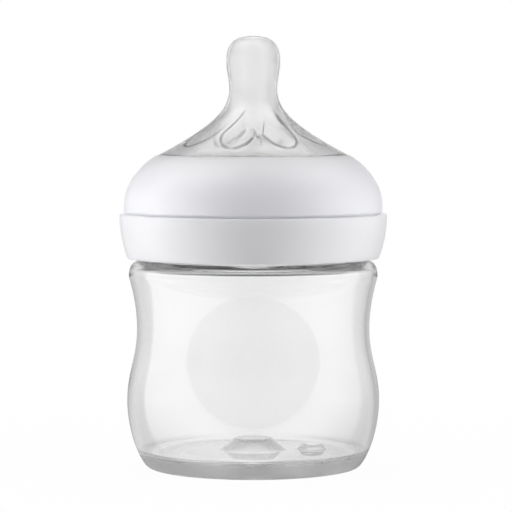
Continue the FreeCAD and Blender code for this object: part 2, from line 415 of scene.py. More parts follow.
@dataclass(frozen=True)
class Finish:
    """A finish with fine unevenness in its gloss and surface.

    Attributes:
        name: Name of the material.
        slot: The record's slot for it. Not used.
        color: Linear colour of the surface, or of what it lets through.
        gloss: Roughness at the smoothest and the dullest spots.
        ior: Index of refraction.
        transmission: Share of the light that passes through.
        grain: Size of the unevenness, as noise cells per metre.
        relief: Depth of the unevenness, metres.
        haze: How fast the material dims light that crosses it, per metre.
        bleed: Share of the light that wanders under the surface.
        bleed_reach: How far it wanders, metres.
        frosts: Patches that are duller than the rest.
        grain_span: The noise's values at the smoothest and the dullest spots.
        grain_detail: How many finer layers the noise has.
    """

    name: str
    slot: Slot
    color: Triple
    gloss: Pole
    ior: float
    transmission: float
    grain: float
    relief: float
    haze: float = 0.0
    bleed: float = 0.0
    bleed_reach: float = 0.004
    frosts: tuple[Frost, ...] = ()
    grain_span: Pole = (0.3, 0.7)
    grain_detail: float = 4.0

    def material(self) -> bpy.types.Material:
        """Make the material.

        Returns:
            A material with noise in its roughness and its bump.
        """
        material = bpy.data.materials.new(self.name)
        material.use_nodes = True
        wiring = Wiring(material.node_tree)
        nodes = wiring.tree.nodes
        place = wiring.add("ShaderNodeTexCoord", {}).outputs["Object"]
        noise = wiring.add("ShaderNodeTexNoise", {
            "Scale": self.grain,
            "Detail": self.grain_detail,
            "Vector": place,
        })
        grain = noise.outputs["Fac"]
        roughness = wiring.rescale(grain, self.grain_span, self.gloss)
        for frost in self.frosts:
            roughness = frost.cover(wiring, place, roughness)
        bump = wiring.add("ShaderNodeBump", {"Distance": self.relief, "Height": grain})
        wiring.feed(nodes["Principled BSDF"], {
            "Base Color": (*self.color, 1),
            "Roughness": roughness,
            "IOR": self.ior,
            "Normal": bump.outputs["Normal"],
            "Transmission Weight": self.transmission,
            "Subsurface Weight": self.bleed,
            "Subsurface Radius": (1.0, 1.0, 1.0),
            "Subsurface Scale": self.bleed_reach,
        })
        if self.haze:
            # Half grey takes half of the density, so the density is twice the haze.
            dimming = wiring.add("ShaderNodeVolumeAbsorption", {
                "Color": (0.5, 0.5, 0.5, 1),
                "Density": 2 * self.haze,
            })
            wiring.feed(nodes["Material Output"], {"Volume": dimming.outputs["Volume"]})
        return material


FRONT_PANEL = Frost(centre=(0.0, -31.0, 29.8), stretch=(1.0, 0.3, 1.0), radius=17.0, edge=0.8, roughness=0.22)
MATT_FOOT = Frost(centre=(0.0, 0.0, 0.0), stretch=(0.0, 0.0, 1.0), radius=4.4, edge=1.0, roughness=0.4)
MATT_RECESS = Frost(centre=(0.0, 0.0, 0.0), stretch=(1.0, 1.0, 1.0), radius=7.4, edge=0.4, roughness=0.4)
CLEAR_PLASTIC = Finish(
    "clear_polypropylene", Slot.CLEAR_PLASTIC, color=(0.945, 0.945, 0.945), gloss=(0.01, 0.03), ior=1.49,
    transmission=1.0, grain=90.0, relief=0.000006, haze=5.0, frosts=(FRONT_PANEL, MATT_FOOT, MATT_RECESS),
)
WHITE_PLASTIC = Finish(
    "white_polypropylene", Slot.WHITE_PLASTIC, color=(0.85, 0.85, 0.885), gloss=(0.28, 0.33), ior=1.49,
    transmission=0.0, grain=300.0, relief=0.0000004, bleed=0.7,
)
CLEAR_SILICONE = Finish(
    "clear_silicone", Slot.CLEAR_SILICONE, color=(0.985, 0.985, 0.985), gloss=(0.08, 0.11), ior=1.41,
    transmission=0.885, grain=140.0, relief=0.000003, bleed=1.0,
)


def dress(piece: Piece, finish: Finish, part: str) -> Piece:
    """Give a new piece its finish and tie it to the frame.

    Args:
        piece: The new piece.
        finish: What it is made of.
        part: The body that it moves with, and the solid of the same name that it stands for.

    Returns:
        The piece.
    """
    piece.data.materials.append(finish.material())
    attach(piece, part)
    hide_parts(part)
    return piece


@dataclass(frozen=True)
class Thread:
    """A screw thread of several ridges with run-out ends.

    Attributes:
        start_height: Height of the first ridge's middle where it starts, mm.
        start_turn: Where round the axis it starts, turns.
        turns: How far each ridge winds, turns.
        depth: How far a ridge stands out, mm. Negative for one that points inwards.
        lead: How far a ridge climbs in a turn, mm.
        starts: How many ridges there are.
        root_width: Width of a ridge's root, mm.
        crest_width: Width of its crest, mm.
        run_out: How far round each end fades out, degrees.
    """

    start_height: float
    start_turn: float
    turns: float
    depth: float
    lead: float = 10.0
    starts: int = 2
    root_width: float = 2.2
    crest_width: float = 1.2
    run_out: float = 20.0

    def rise(self, height: float, angle: float) -> float:
        """How far the surface stands out.

        Args:
            height: Height of the place, mm.
            angle: Place round the axis, degrees.

        Returns:
            The distance from the plain surface, mm.
        """
        best = 0.0
        for start in range(self.starts):
            wound = (angle - 360 * (self.start_turn + start / self.starts)) % 360
            from_end = min(wound, 360 * self.turns - wound)
            if from_end <= 0:
                continue
            away = abs(height - self.start_height - self.lead * wound / 360)
            share = 1 - smooth_step(self.crest_width / 2, self.root_width / 2, away)
            best = max(best, share * smooth_step(0, self.run_out, from_end))
        return best * self.depth


@dataclass
class Bottle:
    """Clear body with a waist, a front panel, a pushed-up floor and a threaded neck. Sizes in mm.

    Attributes:
        wall: Thickness of the wall.
        foot_flat: Outer radius of the flat ring that it stands on.
        foot_edge: Radius of the pole that rounds that ring's outer edge.
        foot_inside: Inner radius of that ring.
        arch: Where the underside levels off above the ring.
        base: Where the wall starts.
        belly: Widest place of the lower wall.
        waist: Narrowest place of the wall.
        shoulder: Where the wall starts to turn in below the neck.
        shoulder_top: Height of the shoulder's flat top.
        shoulder_flat: Outer radius of that flat.
        neck: Outer radius of the neck.
        bore: Inner radius of the neck.
        rim: Height of the neck's top.
        plain_rim: How far below the rim the thread's fine pitch ends.
        edge: Rounding of the neck's corners.
        flare: How fast the wall widens at the shoulder, mm for each mm of height.
        base_pull: Pulls of the wall's first pole, outwards and upwards.
        wave_pull: Pull of the poles between belly and waist.
        even_pull: Pull of the other poles of the wall.
        inner_shoulder_pull: Pull at the shoulder on the inside.
        floor: Height of the floor inside.
        floor_round: Rounding between the wall and the floor.
        floor_step: How far the wall comes in over that rounding.
        push_up_base: Radius of the push-up where it leaves the floor.
        push_up_top: Edge of its flat top.
        push_up_round: Rounding of its edges, on both sides of the wall.
        recess_base: Radius of the recess under it at the mouth.
        recess_top: Edge of that recess's roof.
        dimple: Middle of the dimple in the floor, across and along.
        dimple_inner: Radius of the dimple's flat top.
        dimple_outer: Radius of its foot.
        dimple_height: How far it stands up.
        panel_height: Height of the front panel's middle.
        panel_inner: Radius of the panel's even part.
        panel_outer: Radius of its edge.
        panel_depth: How far it is pressed in.
        panel_ease: Rounding of its slope, as a share of the slope.
        panel_half_turn: How far from the front the panel may reach, degrees.
        thread: The neck's thread.
    """

    wall: float = 1.3
    foot_flat: float = 26.34
    foot_edge: float = 27.44
    foot_inside: float = 24.4
    arch: Pole = (17.5, 2.4)
    base: Pole = (28.23, 1.1)
    belly: Pole = (32.63, 17.3)
    waist: Pole = (30.07, 35.9)
    shoulder: Pole = (32.0, 48.7)
    shoulder_top: float = 53.7
    shoulder_flat: float = 28.83
    neck: float = 26.4
    bore: float = 24.4
    rim: float = 70.0
    plain_rim: float = 3.4
    edge: float = 0.35
    flare: float = 0.285
    base_pull: Pole = (0.635, 0.24)
    wave_pull: float = 0.385
    even_pull: float = 0.33
    inner_shoulder_pull: float = 0.47
    floor: float = 4.6
    floor_round: float = 0.7
    floor_step: float = 0.45
    push_up_base: float = 8.3
    push_up_top: Pole = (4.8, 7.6)
    push_up_round: float = 0.7
    recess_base: float = 6.8
    recess_top: Pole = (3.3, 6.1)
    dimple: Pole = (15.2, 0.0)
    dimple_inner: float = 2.4
    dimple_outer: float = 4.0
    dimple_height: float = 1.5
    panel_height: float = 29.8
    panel_inner: float = 13.3
    panel_outer: float = 17.0
    panel_depth: float = 0.35
    panel_ease: float = 0.12
    panel_half_turn: float = 60.0
    thread: Thread = Thread(start_height=57.5, start_turn=0.0, turns=0.75, depth=1.5)
    floor_pitch: float = 0.4
    foot_pitch: float = 0.5
    thread_pitch: float = 0.1
    neck_pitch: float = 0.25
    arch_steps: int = 24
    edge_steps: int = 8
    wall_steps: tuple[int, ...] = (26, 30, 22, 16)
    heel_steps: int = 40

    def wall_poles(self, inset: float) -> list[list[Pole]]:
        """Curves of the wall from the base to the shoulder.

        Args:
            inset: How far inside the outer surface they lie, mm.

        Returns:
            Four lists of poles, in order.
        """
        base, belly, waist, shoulder = self.base, self.belly, self.waist, self.shoulder
        heel_rise = belly[1] - base[1]
        wave = self.wave_pull * (waist[1] - belly[1])
        reach = self.even_pull * (shoulder[1] - waist[1])
        top_pull = self.inner_shoulder_pull if inset else self.even_pull
        top_rise = top_pull * (self.shoulder_top - shoulder[1])
        heel = [
            base,
            (base[0] + self.base_pull[0] * (belly[0] - base[0]), base[1] + self.base_pull[1] * heel_rise),
            (belly[0], belly[1] - self.even_pull * heel_rise),
            belly,
        ]
        middle = [belly, (belly[0], belly[1] + wave), (waist[0], waist[1] - wave), waist]
        upper = [
            waist,
            (waist[0], waist[1] + reach),
            (shoulder[0] - self.flare * reach, shoulder[1] - reach),
            shoulder,
        ]
        top = [
            shoulder,
            (shoulder[0] + self.flare * top_rise, shoulder[1] + top_rise),
            (shoulder[0], self.shoulder_top - inset),
            (self.shoulder_flat, self.shoulder_top - inset),
        ]
        curves = (heel, middle, upper, top)
        return [[(radius - inset, height) for radius, height in poles] for poles in curves]

    def outline(self) -> Outline:
        """Draw the whole outline.

        Returns:
            The outline from the axis under the foot to the axis on the floor.
        """
        line = Outline()
        line.run([
            (0.0, self.recess_top[1]),
            (*self.recess_top, self.push_up_round),
            (self.recess_base, self.arch[1], self.push_up_round),
            self.arch,
        ], self.floor_pitch, Zone.FLOOR)
        reach = (self.foot_inside - self.arch[0]) / 2
        falling = [
            self.arch,
            (self.arch[0] + reach, self.arch[1]),
            (self.foot_inside - reach, 0.0),
            (self.foot_inside, 0.0),
        ]
        line.curve(falling, self.arch_steps, Zone.FLOOR)
        line.run([(self.foot_flat, 0.0)], self.foot_pitch, Zone.FLOOR)
        line.curve([(self.foot_flat, 0.0), (self.foot_edge, 0.0), self.base], self.edge_steps)
        for poles, steps in zip(self.wall_poles(0.0), self.wall_steps):
            line.curve(poles, steps, Zone.WALL)
        line.run([
            (self.shoulder_flat, self.shoulder_top),
            (self.neck, self.shoulder_top, self.edge),
            (self.neck, self.rim - self.plain_rim),
        ], self.thread_pitch, Zone.THREAD)
        line.run([
            (self.neck, self.rim - self.plain_rim),
            (self.neck, self.rim, self.edge),
            (self.bore, self.rim, self.edge),
            (self.bore, self.shoulder_top - self.wall, self.edge),
            (self.shoulder_flat - self.wall, self.shoulder_top - self.wall),
        ], self.neck_pitch, Zone.THREAD)
        inner = self.wall_poles(self.wall)
        for poles, steps in zip(inner[:0:-1], self.wall_steps[:0:-1]):
            line.curve(poles[::-1], steps, Zone.WALL)
        heel = Outline()
        heel.curve(inner[0][::-1], self.heel_steps, Zone.WALL)
        for knot in heel.knots:
            if knot.height > self.floor + self.floor_round:
                line.add(knot.radius, knot.height, Zone.WALL)
        last = line.knots[-1]
        line.run([
            (last.radius, last.height),
            (last.radius - self.floor_step, self.floor, self.floor_round),
            (self.push_up_base, self.floor, self.push_up_round),
            (*self.push_up_top, self.push_up_round),
            (0.0, self.push_up_top[1]),
        ], self.floor_pitch, Zone.FLOOR)
        return line

    def panel_share(self, radius: float, height: float, angle: float) -> float:
        """How far a point of the wall lies into the front panel.

        Args:
            radius: Radius of the wall there, mm.
            height: Height of the point, mm.
            angle: Place round the axis, degrees.

        Returns:
            The share of the panel's depth, from 0 to 1.
        """
        away = wrapped(angle - FRONT_TURN, 360)
        if abs(away) > self.panel_half_turn:
            return 0.0
        across = radius * math.sin(math.radians(away))
        distance = math.hypot(across, height - self.panel_height)
        share = (self.panel_outer - distance) / (self.panel_outer - self.panel_inner)
        return bevel(share, self.panel_ease)

    def warp(self, knot: Knot, angle: float) -> Pole:
        """Press in the panel, raise the dimple and cut the thread.

        Args:
            knot: A knot of the outline.
            angle: Place round the axis, degrees.

        Returns:
            The radius and the height there, mm.
        """
        radius, height = knot.radius, knot.height
        if knot.zone is Zone.WALL:
            radius -= self.panel_depth * self.panel_share(radius, height, angle)
        if knot.zone is Zone.THREAD and abs(radius - self.neck) < TINY:
            radius += self.thread.rise(height, angle)
        if knot.zone is Zone.FLOOR:
            turn = math.radians(angle)
            across = radius * math.cos(turn) - self.dimple[0]
            along = radius * math.sin(turn) - self.dimple[1]
            outside = smooth_step(self.dimple_inner, self.dimple_outer, math.hypot(across, along))
            height += self.dimple_height * (1 - outside)
        return radius, height

    def build(self) -> Piece:
        """Build and dress the bottle."""
        return dress(Lathe().turn("clear_bottle", self.outline(), self.warp), CLEAR_PLASTIC, "bottle")


@dataclass
class ScrewRing:
    """White ring with a grip band, a domed top, a threaded sleeve and ribs behind the band. Sizes in mm.

    Attributes:
        bottom: Height of the band's lower edge.
        band_foot: Radius of the band at its lower edge.
        band: Radius of the band at its upper edge.
        band_edge: Rounding of the band's edges.
        ledge: Height of the ledge on top of the band.
        cap_seat: Radius of the upright seat above the groove.
        groove: Depth of the groove above the ledge.
        groove_top: Height where the groove ends.
        groove_corner: Rounding inside the groove.
        corner: Rounding of the other corners.
        dome_start: Height where the seat ends and the dome starts.
        dome_top: Height of the dome's top.
        dome_end_slope: How steep the dome is at its top, mm for each mm.
        dome_pull: Pull of the dome's poles.
        hole: Radius of the hole for the teat.
        hole_rim: Rounding of the hole's upper edge.
        hole_depth: How far the hole's wall reaches down.
        clamp: Height of the face that holds the teat's flange.
        clamp_inside: Inner radius of that face.
        sleeve: Inner radius of the sleeve.
        sleeve_outside: Outer radius of the sleeve.
        sleeve_bottom: Height of the sleeve's lower edge.
        slot_outside: Outer radius of the slot's mouth between sleeve and band.
        slot_roof: Outer edge of the slot's roof.
        rib_count: How many ribs cross the slot.
        rib_half_turn: Half of a rib's thickness, degrees.
        rib_bottom: Height of a rib's lower edge.
        thread: The sleeve's thread, whose ridges point inwards.
    """

    bottom: float = 54.2
    band_foot: float = 32.6
    band: float = 34.55
    band_edge: float = 0.4
    ledge: float = 65.6
    cap_seat: float = 33.35
    groove: float = 0.9
    groove_top: float = 66.3
    groove_corner: float = 0.1
    corner: float = 0.2
    dome_start: float = 67.7
    dome_top: float = 80.75
    dome_end_slope: float = 0.53
    dome_pull: float = 0.46
    hole: float = 24.45
    hole_rim: float = 0.25
    hole_depth: float = 1.25
    clamp: float = 72.1
    clamp_inside: float = 26.3
    sleeve: float = 28.5
    sleeve_outside: float = 30.1
    sleeve_bottom: float = 55.0
    slot_outside: float = 30.9
    slot_roof: Pole = (32.85, 63.5)
    rib_count: int = 12
    rib_half_turn: float = 1.1
    rib_bottom: float = 55.8
    thread: Thread = Thread(start_height=57.85, start_turn=0.25, turns=0.5, depth=-1.65)
    pitch: float = 0.8
    thread_pitch: float = 0.3
    band_steps: int = 28
    edge_steps: int = 8
    dome_steps: int = 36
    rim_steps: int = 5

    def outline(self) -> Outline:
        """Draw the whole closed outline.

        Returns:
            The outline from the band's foot over the dome to the slot behind the band.
        """
        line = Outline()
        line.curve([
            (self.band_foot - self.band_edge / 2, self.bottom),
            (self.band_foot + self.band_edge / 2, self.bottom + self.band_edge / 2),
            (self.band, (self.bottom + self.ledge) / 2),
            (self.band, self.ledge - self.band_edge),
        ], self.band_steps)
        line.curve([
            (self.band, self.ledge - self.band_edge),
            (self.band, self.ledge),
            (self.band - self.band_edge, self.ledge),
        ], self.edge_steps)
        line.run([
            (self.cap_seat - self.groove, self.ledge),
            (self.cap_seat - self.groove, self.groove_top - self.groove, self.groove_corner),
            (self.cap_seat, self.groove_top, self.corner),
            (self.cap_seat, self.dome_start),
        ], self.pitch)
        rim = self.hole + self.hole_rim
        span = self.dome_pull * (self.cap_seat - rim)
        line.curve([
            (self.cap_seat, self.dome_start),
            (self.cap_seat, self.dome_start + self.dome_pull * (self.dome_top - self.dome_start)),
            (rim + span, self.dome_top - span * self.dome_end_slope),
            (rim, self.dome_top),
        ], self.dome_steps)
        line.curve([
            (rim, self.dome_top),
            (self.hole, self.dome_top),
            (self.hole, self.dome_top - self.hole_rim),
        ], self.rim_steps)
        line.run([
            (self.hole, self.dome_top - self.hole_depth),
            (self.clamp_inside, self.clamp, self.corner),
            (self.sleeve, self.clamp, self.corner),
            (self.sleeve, self.sleeve_bottom),
        ], self.thread_pitch, Zone.THREAD)
        line.run([(self.sleeve, self.sleeve_bottom), (self.sleeve_outside, self.sleeve_bottom)], self.pitch)
        line.run([(self.sleeve_outside, self.slot_roof[1]), self.slot_roof], WHOLE_SIDE, Zone.SLOT)
        line.run([(self.slot_outside, self.bottom)], WHOLE_SIDE)
        return line

    def warp(self, knot: Knot, angle: float) -> Pole:
        """Raise the thread's ridges and drop the slot's roof at each rib.

        Args:
            knot: A knot of the outline.
            angle: Place round the axis, degrees.

        Returns:
            The radius and the height there, mm.
        """
        radius, height = knot.radius, knot.height
        if knot.zone is Zone.THREAD and abs(radius - self.sleeve) < TINY:
            radius += self.thread.rise(height, angle)
        if knot.zone is Zone.SLOT:
            between = 360 / self.rib_count
            if abs(wrapped(angle - between / 2, between)) < self.rib_half_turn:
                drop = (height - self.rib_bottom) / (height - self.bottom)
                if radius > self.sleeve_outside:
                    radius -= drop * (self.slot_roof[0] - self.slot_outside)
                height = self.rib_bottom
        return radius, height

    def build(self) -> Piece:
        """Build and dress the ring."""
        return dress(Lathe().turn("white_screw_ring", self.outline(), self.warp), WHITE_PLASTIC, "screw_ring")


@dataclass
class Teat:
    """Silicone teat: lip, flange, skirt with a vent window, cone with petal pockets, and nipple. Sizes in mm.

    Along a petal's tail, from 0 at the lobe to 1 at its end, the swirl and the fading out have a start, and
    the blurring of one edge has an end.

    Attributes:
        wall: Thickness of the skirt and the cone.
        nipple_wall: Thickness of the nipple's side.
        tip_wall: Thickness of its tip.
        lip: Outer radius of the lip inside the bottle's neck.
        lip_inside: Inner radius of the lip.
        lip_bottom: Height of the lip's lower edge.
        lip_corner: Rounding between the lip and the flange.
        flange: Radius of the flange.
        flange_bottom: Height of the flange's lower face.
        flange_top: Height of its upper face.
        flange_corner: Rounding of the flange's edges and the lip's.
        skirt: Outer radius of the skirt at the flange.
        collar: Where the skirt ends and the short collar in the ring's hole starts.
        collar_top: Height where the collar ends and the cone starts.
        cone_angle: Slope of the cone where it starts, degrees.
        cone_rise: Height of the cone.
        cone_pull: Pulls of the cone's lower and upper poles.
        neck_radius: Radius where the nipple is narrowest.
        bulb_radius: Radius where it is widest.
        bulb_rise: Height between those two places.
        bulb_pull: Pull of the poles between them.
        tip_rise: Height of the tip above the widest place.
        tip_hole: Radius of the hole in the tip.
        tip_pull: Pulls of the tip's poles, across and upwards.
        window_low: Height of the vent window's lower edge.
        window_high: Height of its upper edge.
        window_columns: Its width, as columns of the mesh.
        petal_count: How many petals there are.
        petal_low: Way up the cone where a petal starts.
        petal_lobe: Length of its round lobe.
        petal_high: Way up the cone where its tail ends.
        petal_depth: Depth of a petal.
        petal_half_width: Half of its width at the lobe.
        petal_end_half_width: Half of its width at the end of the tail.
        petal_edge: Width of the slope at its edges.
        petal_first: Where a petal's lobe lies, degrees from the front.
        petal_swirl: How far its tail winds round, degrees.
        petal_blur: How far one edge of the tail is blurred, as a share of its half width.
    """

    wall: float = 1.9
    nipple_wall: float = 1.8
    tip_wall: float = 1.2
    lip: float = 24.1
    lip_inside: float = 22.6
    lip_bottom: float = 67.7
    lip_corner: float = 0.3
    flange: float = 28.1
    flange_bottom: float = 70.1
    flange_top: float = 72.0
    flange_corner: float = 0.4
    skirt: float = 26.0
    collar: Pole = (24.35, 79.3)
    collar_top: float = 80.8
    cone_angle: float = 28.3
    cone_rise: float = 16.7
    cone_pull: Pole = (0.66, 0.355)
    neck_radius: float = 6.17
    bulb_radius: float = 6.92
    bulb_rise: float = 7.5
    bulb_pull: float = 0.385
    tip_rise: float = 6.35
    tip_hole: float = 0.5
    tip_pull: Pole = (0.67, 0.635)
    window_low: float = 72.8
    window_high: float = 77.0
    window_columns: int = 10
    petal_count: int = 8
    petal_low: float = 4.6
    petal_lobe: float = 6.5
    petal_high: float = 24.0
    petal_depth: float = 0.4
    petal_half_width: float = 4.4
    petal_end_half_width: float = 1.2
    petal_edge: float = 0.45
    petal_first: float = -17.0
    petal_swirl: float = 16.0
    swirl_start: float = -0.1
    petal_blur: float = 0.8
    blur_end: float = 0.6
    fade_start: float = 0.3
    pitch: float = 0.8
    window_pitch: float = 0.7
    collar_pitch: float = 0.5
    cone_steps: int = 90
    petal_steps: int = 130
    bulb_steps: int = 24
    tip_steps: int = 30

    def poles(self, wall: float, side: float, top: float) -> list[list[Pole]]:
        """Curves from the ring's hole to the tip.

        Args:
            wall: How far inside the outer surface the cone lies, mm.
            side: How far inside it the nipple's side lies, mm.
            top: How far under it the tip lies, mm.

        Returns:
            The curves of the cone, the bulb and the tip.
        """
        angle = math.radians(self.cone_angle)
        slope = math.tan(angle)
        start = (self.collar[0] - wall, self.collar_top - wall * (1 / math.cos(angle) - slope))
        neck_z = self.collar_top + self.cone_rise
        neck = (self.neck_radius - side, neck_z)
        bulb = (self.bulb_radius - side, neck_z + self.bulb_rise)
        tip_z = neck_z + self.bulb_rise + self.tip_rise - top
        along = self.cone_pull[0] * (start[0] - neck[0])
        below = self.cone_pull[1] * (neck_z - start[1])
        cone = [start, (start[0] - along, start[1] + along * slope), (neck[0], neck_z - below), neck]
        rise = self.bulb_pull * self.bulb_rise
        swell = [neck, (neck[0], neck_z + rise), (bulb[0], bulb[1] - rise), bulb]
        tip = [
            bulb,
            (bulb[0], bulb[1] + self.tip_pull[1] * (tip_z - bulb[1])),
            (self.tip_pull[0] * bulb[0] + self.tip_hole, tip_z),
            (self.tip_hole, tip_z),
        ]
        return [cone, swell, tip]

    def skirt_inside(self, height: float) -> float:
        """Inside radius of the leaning skirt at a height."""
        lean = (self.skirt - self.collar[0]) / (self.collar[1] - self.flange_top)
        return self.skirt - self.wall - lean * (height - self.flange_top)

    def outline(self) -> Outline:
        """Draw the whole closed outline.

        Returns:
            The outline from the lip up the outside to the tip and down the inside.
        """
        line = Outline()
        outside = self.poles(0.0, 0.0, 0.0)
        inside = self.poles(self.wall, self.nipple_wall, self.tip_wall)
        line.run([
            (self.lip_inside, self.lip_bottom),
            (self.lip, self.lip_bottom, self.flange_corner),
            (self.lip, self.flange_bottom, self.lip_corner),
            (self.flange, self.flange_bottom, self.flange_corner),
            (self.flange, self.flange_top, self.flange_corner),
            (self.skirt, self.flange_top),
        ], self.pitch)
        for height in (self.window_low, self.window_high):
            line.run([(self.skirt_inside(height) + self.wall, height)], self.window_pitch)
        line.run([self.collar], self.collar_pitch)
        for poles, steps in zip(outside, (self.cone_steps, self.bulb_steps, self.tip_steps)):
            line.curve(poles, steps)
        for poles, steps in zip(inside[:0:-1], (self.tip_steps, self.bulb_steps)):
            line.curve(poles[::-1], steps)
        line.curve(inside[0][::-1], self.petal_steps, Zone.PETAL)
        line.run([(self.skirt_inside(self.collar[1]), self.collar[1])], self.pitch)
        for height in (self.window_high, self.window_low):
            line.run([(self.skirt_inside(height), height)], self.window_pitch)
        foot = (self.skirt_inside(self.flange_top), self.flange_top)
        line.run([foot, (self.lip_inside, self.flange_bottom)], self.pitch)
        climb = 0.0
        for index, knot in reversed(list(enumerate(line.knots))):
            if knot.zone is Zone.PETAL:
                after = line.knots[index + 1]
                climb += math.hypot(knot.radius - after.radius, knot.height - after.height)
                knot.climb, knot.outward = climb, line.left(index)
        return line

    def warp(self, knot: Knot, angle: float) -> Pole:
        """Press the petal pockets into the inside of the cone."""
        depth = self.petal(knot.climb, knot.radius, angle) if knot.zone is Zone.PETAL else 0.0
        return knot.radius + depth * knot.outward[0], knot.height + depth * knot.outward[1]

    def build(self) -> Piece:
        """Build and dress the teat."""
        line = self.outline()
        return dress(Lathe().turn("clear_teat", line, self.warp, *self.window(line)), CLEAR_SILICONE, "teat")

    def petal(self, climb: float, radius: float, angle: float) -> float:
        """Depth of the petal pockets: a round lobe below, and a tail that swirls and fades as it climbs.

        Args:
            climb: Way up the inside of the cone, mm.
            radius: Radius of the cone there, mm.
            angle: Place round the axis, degrees.

        Returns:
            How far the inside is pressed out, mm.
        """
        above = climb - self.petal_low
        if above <= 0 or climb >= self.petal_high:
            return 0.0
        lobe = min(1.0, above / self.petal_lobe)
        tail = max(0.0, above - self.petal_lobe) / (self.petal_high - self.petal_low - self.petal_lobe)
        half = self.petal_half_width * math.sqrt(1 - (1 - lobe) ** 2)
        half += tail * (self.petal_end_half_width - self.petal_half_width)
        middle = FRONT_TURN + self.petal_first + self.petal_swirl * smooth_step(self.swirl_start, 1.0, tail)
        away = math.radians(wrapped(angle - middle, 360 / self.petal_count)) * radius
        blurred = self.petal_edge + self.petal_blur * half * smooth_step(0.0, self.blur_end, tail)
        left = smooth_step(0, self.petal_edge, half + away)
        right = smooth_step(0, blurred, half - away)
        return self.petal_depth * left * right * (1 - smooth_step(self.fade_start, 1.0, tail))

    def window(self, line: Outline) -> tuple[frozenset[Cell], list[Face]]:
        """Faces to leave out and to add for the vent window at the back.

        Args:
            line: The teat's outline.

        Returns:
            The (knot, column) of each face left out, and the faces that line the window.
        """
        # The back is a quarter turn from the right-hand side, where the columns start.
        middle = Lathe.segments // 4
        first, last = middle - self.window_columns // 2, middle + self.window_columns // 2
        low, high = self.window_low - TINY, self.window_high + TINY
        rows = [index for index, knot in enumerate(line.knots) if low <= knot.height <= high]
        half = len(rows) // 2
        outer, inner = rows[:half], rows[half:][::-1]
        holes = set()
        for stretch in (outer, inner):
            for index in sorted(stretch)[:-1]:
                holes.update((index, column) for column in range(first, last))
        bridges = []
        for near, far in ((outer[0], inner[0]), (outer[-1], inner[-1])):
            for column in range(first, last):
                bridges.append(((near, column), (near, column + 1), (far, column + 1), (far, column)))
        for column in (first, last):
            for step in range(half - 1):
                bridges.append(((outer[step], column), (outer[step + 1], column),
                                (inner[step + 1], column), (inner[step], column)))
        return frozenset(holes), bridges


@dataclass
class VentFlap:
    """The tongue of the teat's air vent, whose solid already has the right shape."""

    node: str = "vent_flap"

    def build(self) -> Piece:
        """Give the flap the teat's silicone.

        Returns:
            The flap.
        """
        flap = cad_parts[self.node]
        flap.data.materials.clear()
        flap.data.materials.append(CLEAR_SILICONE.material())
        return flap


AIM = Vector((0.0, 0.0, 0.06))


@dataclass(frozen=True)
class SoftBox:
    """A large lamp whose light fades towards its edges.

    Attributes:
        name: Name of the lamp.
        bearing: Where it stands round the bottle, degrees to the right of the camera.
        distance: How far from the axis it stands, metres.
        height: Height of its middle, metres.
        size: Width and height, metres.
        power: Watts.
        fade: Share of its width over which it fades at each side.
    """

    name: str
    bearing: float
    distance: float
    height: float
    size: Pole
    power: float
    fade: float = 0.3

    def hang(self) -> None:
        """Hang the lamp, facing the bottle."""
        data = bpy.data.lights.new(self.name, "AREA")
        data.shape = "RECTANGLE"
        data.size, data.size_y = self.size
        data.energy = self.power
        self.soften(data)
        turn = math.radians(self.bearing)
        place = Vector((self.distance * math.sin(turn), -self.distance * math.cos(turn), self.height))
        lamp = bpy.data.objects.new(self.name, data)
        lamp.location = place
        lamp.visible_camera = lamp.visible_glossy = lamp.visible_transmission = False
        lamp.rotation_euler = (AIM - place).to_track_quat("-Z", "Y").to_euler()
        bpy.context.scene.collection.objects.link(lamp)

    def soften(self, data: bpy.types.AreaLight) -> None:
        """Fade the lamp's light towards its edges.

        Args:
            data: The lamp.
        """
        data.use_nodes = True
        wiring = Wiring(data.node_tree)
        place = wiring.add("ShaderNodeNewGeometry", {}).outputs["Parametric"]
        across = wiring.add("ShaderNodeSeparateXYZ", {0: place}).outputs
        level = 1.0
        for axis in ("X", "Y"):
            for given, wanted in (((0.0, self.fade), (0.0, 1.0)), ((1.0 - self.fade, 1.0), (1.0, 0.0))):
                side = wiring.rescale(across[axis], given, wanted, Ease.SMOOTH)
                level = wiring.reckon("MULTIPLY", level, side)
        wiring.feed(wiring.tree.nodes["Emission"], {"Strength": level})


SOFT_BOXES = (
    SoftBox("left_box", bearing=-76.0, distance=0.60, height=0.16, size=(0.70, 0.80), power=8.2),
    SoftBox("right_box", bearing=72.0, distance=0.60, height=0.16, size=(0.60, 0.80), power=6.8),
    SoftBox("top_box", bearing=180.0, distance=0.25, height=0.80, size=(0.45, 0.45), power=3.2),
)
# Painted lamp reflections that gloss shows in place of the lamps, and painted dark side bands that glass
# shows of the backdrop, both on the world and the floor: (bearing, brightness).
PAINTED_REFLECTIONS = (
    (-180, 1.3), (-170, 0.5), (-158, 0.15), (-149, 0.6), (-140, 0.95), (-121, 0.9), (-119.5, 0.9),
    (-116.5, 2.5), (-115, 2.6), (-100, 3.2), (-75, 3.2), (-50, 2.4), (-25, 0.7), (0, 0.1), (25, 0.6),
    (48, 1.7), (72, 2.8), (92, 2.6), (113, 1.9), (115.5, 1.8), (118.5, 1.0), (120, 0.95), (133, 0.9),
    (141, 0.4), (158, 0.4), (170, 0.5), (180, 1.3),
)
SEEN_THROUGH_WITH_PAINTED_SHADE = (
    (-180, 1.0), (-172, 0.98), (-163, 0.76), (-150, 0.6), (-130, 0.8), (-100, 1.0),
    (100, 1.0), (130, 0.75), (150, 0.48), (163, 0.7), (172, 0.98), (180, 1.0),
)


